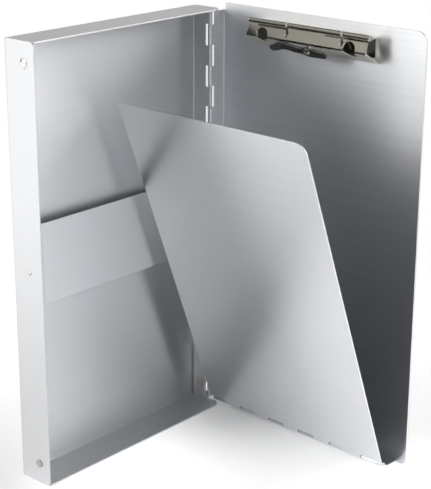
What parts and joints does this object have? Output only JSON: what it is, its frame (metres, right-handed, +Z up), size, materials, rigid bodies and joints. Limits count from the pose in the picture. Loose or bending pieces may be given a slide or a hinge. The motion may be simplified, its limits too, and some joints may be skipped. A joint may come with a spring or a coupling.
{
  "type": "storage clipboard box",
  "caption": "Folded sheet metal form-holder tray with a piano-hinged cover, a tilting writing plate, a low spring clip and a retainer strip for stored forms.",
  "frame": {"origin": "centre of the tray's bottom face, where the part stands", "axes": "+Z up along the tray's length, tray opening towards -Y with its back at +Y, cover hinged on the +X side"},
  "size_m": [0.1609, 0.161, 0.2554],
  "materials": {
    "sheet": "satin brushed mill finish",
    "rivet_alu": "satin",
    "rivet_blind": "dull nickel plate",
    "steel_pin": "drawn wire, bright",
    "nickel": "nickel plate, warm grey"
  },
  "bodies": {
    "tray": {"tray_shell": "sheet", "tray_rivet_upper": "rivet_alu", "tray_rivets_lower": "rivet_blind", "tray_rivet_mandrels": "steel_pin", "retainer_plate": "sheet", "retainer_rivet": "rivet_alu", "main_hinge_pin": "steel_pin"},
    "cover": {"cover_shell": "sheet", "plate_hinge_pin": "steel_pin", "clip_base": "nickel", "clip_rod": "steel_pin", "clip_mount_rivets": "rivet_alu"},
    "writing_plate": {"writing_plate": "sheet"},
    "clip_jaw": {"clip_jaw": "nickel", "clip_springs": "steel_pin", "clip_lever_rivet": "nickel"},
    "clip_lever": {"clip_lever": "nickel"}
  },
  "joints": [
    {"name": "cover_swing", "type": "hinge", "parent": "tray", "child": "cover", "pos_m": [0.07465, -0.001, 0.127], "axis": [0, 0, 1], "range_deg": [-1, 92]},
    {"name": "plate_tilt", "type": "hinge", "parent": "cover", "child": "writing_plate", "pos_m": [0.07234, -0.07096, 0.00265], "axis": [-0.0401, -0.9992, 0], "range_deg": [-20.5, 17]},
    {"name": "clip_jaw_open", "type": "hinge", "parent": "cover", "child": "clip_jaw", "pos_m": [0.07308, -0.075, 0.2496], "axis": [0.0401, 0.9992, 0], "range_deg": [0, 25], "stiffness_Nm_per_rad": 0.2, "springref_deg": -28.65},
    {"name": "clip_lever_turn", "type": "hinge", "parent": "clip_jaw", "child": "clip_lever", "pos_m": [0.06853, -0.07862, 0.2379], "axis": [0.7874, -0.0316, 0.6157], "range_deg": [0, 80]}
  ]
}
